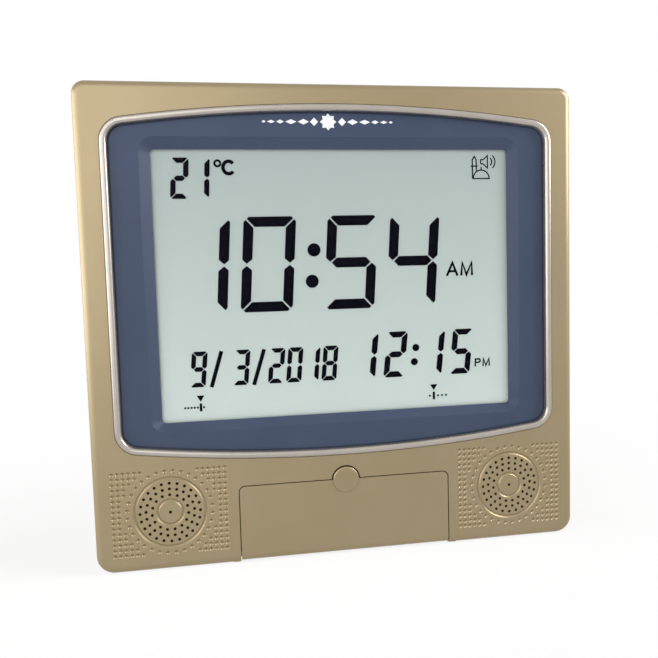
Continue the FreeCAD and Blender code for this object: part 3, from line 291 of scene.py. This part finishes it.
def solid(name, form, material):
    """An object with one material, from a bmesh that ends here."""
    bmesh.ops.recalc_face_normals(form, faces=form.faces[:])
    mesh = bpy.data.meshes.new(name)
    form.to_mesh(mesh)
    form.free()
    mesh.materials.append(material)
    thing = bpy.data.objects.new(name, mesh)
    bpy.context.scene.collection.objects.link(thing)
    return thing


def plates(name, outlines, front_mm, thick_mm, material, body):
    """One piece made of flat plates, whose faces stand at front_mm and look forward."""
    sheet = bmesh.new()
    for outline in outlines:
        sheet.faces.new([sheet.verts.new(metres(x, front_mm, z)) for x, z in outline])
    grown = bmesh.ops.extrude_face_region(sheet, geom=sheet.faces[:])["geom"]
    bmesh.ops.translate(sheet, verts=[v for v in grown if isinstance(v, bmesh.types.BMVert)],
                        vec=metres(0, thick_mm, 0))
    piece = solid(name, sheet, material)
    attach(piece, body)


# The figures stand just in front of the display glass.
BAR_THICK = 0.06
BAR_LIFT = 0.12
BAR_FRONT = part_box("lcd_glass")[0].y / MM - BAR_LIFT

# Which of the seven bars each figure lights, from the top clockwise and then the middle.
LIT = {"0": "abcdef", "1": "bc", "2": "abged", "3": "abgcd", "4": "fgbc", "5": "afgcd",
       "8": "abcdefg", "9": "abfgcd"}


# Each as a share of a bar's thickness: half the gap between bars, the cut at a figure's corners, and
# how far the side bars' inner and outer corners stand from the figure's waist.
BAR_GAP, BAR_CUT, WAIST_IN, WAIST_OUT = 0.1, 0.2, 0.45, 0.4


def bar_outlines(wide, high, thick):
    """The seven bars of an upright figure, from its lower left corner."""
    gap, cut, half = BAR_GAP * thick, BAR_CUT * thick, thick / 2
    far, mid = wide - gap, high / 2
    top = [(gap + cut, high - cut), (gap + 2 * cut, high), (far - 2 * cut, high),
           (far - cut, high - cut), (far - thick, high - thick), (gap + thick, high - thick)]
    left = [(cut, high - cut - gap), (thick, high - thick - gap),
            (thick, mid + WAIST_IN * thick + gap), (WAIST_IN * thick, mid + gap),
            (0, mid + WAIST_OUT * thick + gap), (0, high - 2 * cut - gap)]
    middle = [(gap + half, mid), (gap + thick, mid + half), (far - thick, mid + half),
              (far - half, mid), (far - thick, mid - half), (gap + thick, mid - half)]

    def across(outline):
        return [(wide - x, z) for x, z in outline]

    def under(outline):
        return [(x, high - z) for x, z in outline]

    return {"a": top, "d": under(top), "f": left, "e": under(left), "b": across(left),
            "c": across(under(left)), "g": middle}


def figure(digit, centre, middle, wide, high, thick, lean):
    """The lit bars of one figure, leaning to the right."""
    shapes = bar_outlines(wide, high, thick)
    return [[(centre - wide / 2 + x + lean * (z - high / 2), middle - high / 2 + z)
             for x, z in shapes[bar]] for bar in LIT[digit]]


def marks(name, outlines):
    """Thin marks on the display."""
    plates(name, outlines, BAR_FRONT, BAR_THICK, BAR, "casing")


def line(name, figures, middle, wide, high, thick, lean, extra):
    """One line of figures on the display: each is a digit and the middle of its cell. Extra is what
    stands between them."""
    marks(name, [shape for digit, centre in figures
                 for shape in figure(digit, centre, middle, wide, high, thick, lean)] + extra)


line("time_figures", [("1", -64.05), ("0", -33.2), ("5", 6.6), ("4", 37.3)],
     middle=140.9, wide=24.7, high=44.7, thick=4.75, lean=0.07,
     extra=[disc(-11.3, 147.2, 3.15), disc(-12.6, 132.3, 3.15)])
line("date_figures", [("9", -67.6), ("3", -47.6), ("2", -31.0), ("0", -22.3), ("1", -14.0), ("8", -5.2)],
     middle=92.6, wide=7.3, high=16.8, thick=2.15, lean=0.1,
     extra=[band([(-62.0, 83.9), (-56.8, 100.8)], 1.85), band([(-42.1, 83.9), (-36.7, 100.8)], 1.85)])
line("prayer_time_figures", [("1", 12.9), ("2", 27.6), ("1", 46.7), ("5", 61.3)],
     middle=95.3, wide=10.5, high=22.4, thick=2.85, lean=0.11,
     extra=[disc(37.9, 98.2, 1.78), disc(37.0, 91.2, 1.78)])
line("temperature_figures", [("2", -72.55), ("1", -63.0)],
     middle=181.2, wide=8.1, high=18.7, thick=2.4, lean=0.055,
     extra=[band(bow(-55.1, 187.9, 1.35, 0, 360), 1.0),
            band(bow(-50.0, 186.0, 2.85, 40, 320, squash=0.92), 1.6)])

# The stroke widths of the two half day marks and of the call mark.
AM_WIDTH, PM_WIDTH, CALL_WIDTH = 1.15, 0.75, 0.6
marks("half_day_marks", [
    band([(54.5, 133.0), (57.4, 139.3), (59.9, 133.0)], AM_WIDTH),
    band([(55.9, 135.2), (58.8, 135.2)], AM_WIDTH * 0.9),
    band([(61.9, 133.0), (62.5, 139.2), (64.6, 133.3), (67.3, 139.3), (67.5, 133.0)], AM_WIDTH),
    band([(68.5, 87.3), (68.7, 91.0), (70.3, 91.0)] + bow(70.3, 90.2, 0.85, 90, -90, 8)
         + [(68.7, 89.35)], PM_WIDTH),
    band([(72.6, 87.3), (72.9, 91.1), (74.1, 87.5), (75.8, 91.1), (75.9, 87.3)], PM_WIDTH),
])


# A dial's dots, the bar that stands for the lit one, and the pointer over it.
DOT_R = 0.5
LIT_HALF, LIT_WIDTH = 1.9, 1.15
POINTER_TIP, POINTER_TOP, POINTER_HALF = 2.7, 5.6, 1.8


def dial(first, pitch, count, lit, up):
    """A line of dots with one of them lit as a bar, and a pointer over it."""
    place = first + pitch * lit
    dots = [disc(first + pitch * i, up, DOT_R) for i in range(count) if i != lit]
    bar = band([(place, up - LIT_HALF), (place, up + LIT_HALF)], LIT_WIDTH)
    pointer = [(place, up + POINTER_TIP), (place + POINTER_HALF, up + POINTER_TOP),
               (place - POINTER_HALF, up + POINTER_TOP)]
    return dots + [bar, pointer]


marks("weekday_mark", dial(first=-74.6, pitch=1.45, count=7, lit=5, up=74.6))
marks("prayer_mark", dial(first=44.6, pitch=2.1, count=5, lit=1, up=73.8))

# A small generic call mark: a domed hall with a tower, and a horn with two waves.
marks("call_mark", [
    band([(68.4, 180.3), (77.4, 180.3)], CALL_WIDTH),
    band(bow(72.9, 180.3, 4.1, 2, 178, 20), CALL_WIDTH),
    band([(72.9, 184.4), (72.9, 185.9)], CALL_WIDTH),
    band([(68.4, 180.3), (68.4, 189.4), (69.4, 191.0), (70.4, 189.4), (70.4, 183.6)], CALL_WIDTH),
    band([(67.6, 186.3), (71.2, 186.3)], CALL_WIDTH),
    band([(72.7, 187.4), (72.7, 189.4), (73.9, 189.4), (76.2, 191.4), (76.2, 185.4), (73.9, 187.4),
          (72.7, 187.4)], CALL_WIDTH),
    band(bow(76.0, 188.4, 2.4, 48, -48, 10), CALL_WIDTH),
    band(bow(76.0, 188.4, 4.1, 48, -48, 12), CALL_WIDTH),
])

# Print on the panel above the display: a star between two rows of lozenges. Each lozenge has its
# distance from the star, its half width and its half height.
PRINT_THICK = 0.04
PANEL_SINK = 2.0
PANEL_FRONT = FRONT + PANEL_SINK - PRINT_THICK
STAR_X, STAR_Z, STAR_R = -3.4, 206.1, 3.9
STAR_POINTS, STAR_NOTCH = 8, 0.72
LOZENGES = ((6.6, 1.9, 1.9), (11.6, 2.6, 1.3), (17.4, 2.6, 1.1), (22.4, 1.8, 0.9), (26.6, 1.8, 0.75),
            (30.0, 1.0, 0.6))


def star():
    """The outline of the star, from its top point."""
    reaches = [STAR_R, STAR_R * STAR_NOTCH] * STAR_POINTS
    return [(STAR_X + reach * math.sin(math.pi * i / STAR_POINTS),
             STAR_Z + reach * math.cos(math.pi * i / STAR_POINTS)) for i, reach in enumerate(reaches)]


def lozenge(middle, half_wide, half_high):
    """The outline of a lozenge at the star's height."""
    return [(middle - half_wide, STAR_Z), (middle, STAR_Z + half_high), (middle + half_wide, STAR_Z),
            (middle, STAR_Z - half_high)]


def taper(side):
    """The lozenges on one side, which shrink away from the star."""
    return [lozenge(STAR_X + side * away, half_wide, half_high)
            for away, half_wide, half_high in LOZENGES]


plates("header_ornament", [star()] + taper(-1) + taper(1), PANEL_FRONT, PRINT_THICK, INK, "casing")

# Signs printed on the keys behind the settings door, each drawn about its key's middle.
KEY_Z = 26.0
RAYS = [math.radians(45 * i) for i in range(8)]
RAY_IN, RAY_OUT = 1.5, 2.3
SIGNS = {
    "key_set": [band([(-2, z), (2, z)], 0.6) for z in (-1.5, 0.0, 1.5)],
    "key_up": [[(-2.2, -1.5), (2.2, -1.5), (0, 2.0)]],
    "key_down": [[(-2.2, 1.5), (0, -2.0), (2.2, 1.5)]],
    "key_alarm": [bow(0, 0, 1.5, 0, 180, 12) + [(-1.5, -1.0), (-2.2, -1.6), (2.2, -1.6), (1.5, -1.0)]],
    "key_call": [band(bow(0, 0, 1.8, 60, 300, 16), 0.7)],
    "key_light": [disc(0, 0, 1.0)] + [band([(RAY_IN * math.cos(turn), RAY_IN * math.sin(turn)),
                                            (RAY_OUT * math.cos(turn), RAY_OUT * math.sin(turn))],
                                           0.45) for turn in RAYS],
}
for key, shapes in SIGNS.items():
    low, high = (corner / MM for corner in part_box(key))
    middle = (low.x + high.x) / 2
    plates(f"{key}_sign", [[(middle + x, KEY_Z + z) for x, z in shape] for shape in shapes],
           low.y - PRINT_THICK, PRINT_THICK, KEY_INK, key)


# Floor, lights and camera

# The floor's paper: how much of it shows as plain white near the clock and further off, and the
# distances from the origin in metres where that change begins and ends.
WHITE_NEAR, WHITE_FAR = 0.8, 1.0
FADE_FROM, FADE_TO = 0.16, 0.5


def floor_finish():
    """Plain white paper: it shows white to the eye, keeps the shadow of the clock near it and has no
    edge further off."""
    material, tree, place, out = begin("paper_matt_white")
    matt = add(tree, "ShaderNodeBsdfDiffuse", {"Color": linear("#F4F4F4"), "Roughness": 0.6})
    bright = add(tree, "ShaderNodeEmission", {"Color": linear("#FFFFFF"), "Strength": 1.0})
    away = add(tree, "ShaderNodeVectorMath", {0: place}, operation="LENGTH")
    white = add(tree, "ShaderNodeMapRange", {"Value": away.outputs["Value"],
                                             "From Min": FADE_FROM, "From Max": FADE_TO,
                                             "To Min": WHITE_NEAR, "To Max": WHITE_FAR})
    share = add(tree, "ShaderNodeMath", {0: looked_at(tree), 1: white.outputs["Result"]},
                operation="MULTIPLY").outputs[0]
    both = add(tree, "ShaderNodeMixShader",
               {"Fac": share, 1: matt.outputs["BSDF"], 2: bright.outputs["Emission"]})
    tree.links.new(both.outputs["Shader"], out.inputs["Surface"])
    return material


# The floor's radius in metres, its sides, and its depth under the clock in millimetres.
FLOOR_R, FLOOR_SIDES, FLOOR_DROP = 3.0, 96, 0.1

# Each lamp's name, its place, its width and height in millimetres, and its power in watts. All of
# them aim at one point.
LAMPS = (("key_lamp", (-500, -950, 400), 1000, 1000, 5.5),
         ("side_lamp", (850, -250, 520), 500, 500, 9.0),
         ("edge_lamp", (-750, -40, 180), 1000, 600, 6.5))
LAMPS_AIM = (0, 0, 110)

# The light that the room gives the clock, and the white that the eye sees of it.
ROOM_LIGHT, ROOM_WHITE = 0.25, 1.0


def ground():
    """The floor, a little under the clock."""
    form = bmesh.new()
    bmesh.ops.create_circle(form, cap_ends=True, segments=FLOOR_SIDES, radius=FLOOR_R)
    bmesh.ops.translate(form, verts=form.verts[:], vec=metres(0, 0, -FLOOR_DROP))
    solid("floor", form, floor_finish())


def lamps():
    """Soft lamps that all look at the clock."""
    for name, spot, width, height, watts in LAMPS:
        lamp = bpy.data.lights.new(name, "AREA")
        lamp.shape = "RECTANGLE"
        lamp.size, lamp.size_y, lamp.energy = width * MM, height * MM, watts
        holder = bpy.data.objects.new(name, lamp)
        holder.location = metres(*spot)
        aim = metres(*LAMPS_AIM) - holder.location
        holder.rotation_euler = aim.to_track_quat("-Z", "Y").to_euler()
        bpy.context.scene.collection.objects.link(holder)


def room():
    """White walls: dim as light on the clock, plain white to the eye."""
    world = bpy.data.worlds.new("studio")
    world.use_nodes = True
    tree = world.node_tree
    tree.nodes.clear()
    strength = add(tree, "ShaderNodeMapRange",
                   {"Value": looked_at(tree), "To Min": ROOM_LIGHT, "To Max": ROOM_WHITE})
    sky = add(tree, "ShaderNodeBackground", {"Color": linear("#FFFFFF"),
                                             "Strength": strength.outputs["Result"]})
    out = add(tree, "ShaderNodeOutputWorld")
    tree.links.new(sky.outputs["Background"], out.inputs["Surface"])
    bpy.context.scene.world = world


# The eye of the photograph: its place in millimetres, where it looks, its roll in degrees, and its
# lens, sensor width and range of sight.
CAMERA_AT = (-55.85, -329.44, 132.98)
CAMERA_LOOKS = (0.15665, 0.98490, -0.07373)
CAMERA_ROLL = -1.69
LENS, SENSOR = 36.71, 36.0
SIGHT_FROM, SIGHT_TO = 0.01, 20.0


def camera():
    """The camera: close, a little left of the clock's middle and above it."""
    lens = bpy.data.cameras.new("photo_camera")
    lens.sensor_width, lens.lens = SENSOR, LENS
    lens.clip_start, lens.clip_end = SIGHT_FROM, SIGHT_TO
    eye = bpy.data.objects.new("photo_camera", lens)
    turn = Vector(CAMERA_LOOKS).to_track_quat("-Z", "Y").to_matrix().to_4x4()
    eye.matrix_world = (Matrix.Translation(metres(*CAMERA_AT)) @ turn
                        @ Matrix.Rotation(math.radians(CAMERA_ROLL), 4, "Z"))
    bpy.context.scene.collection.objects.link(eye)
    return eye


ground()
lamps()
room()
bpy.context.scene.camera = camera()
bpy.context.scene.view_settings.view_transform = "Standard"
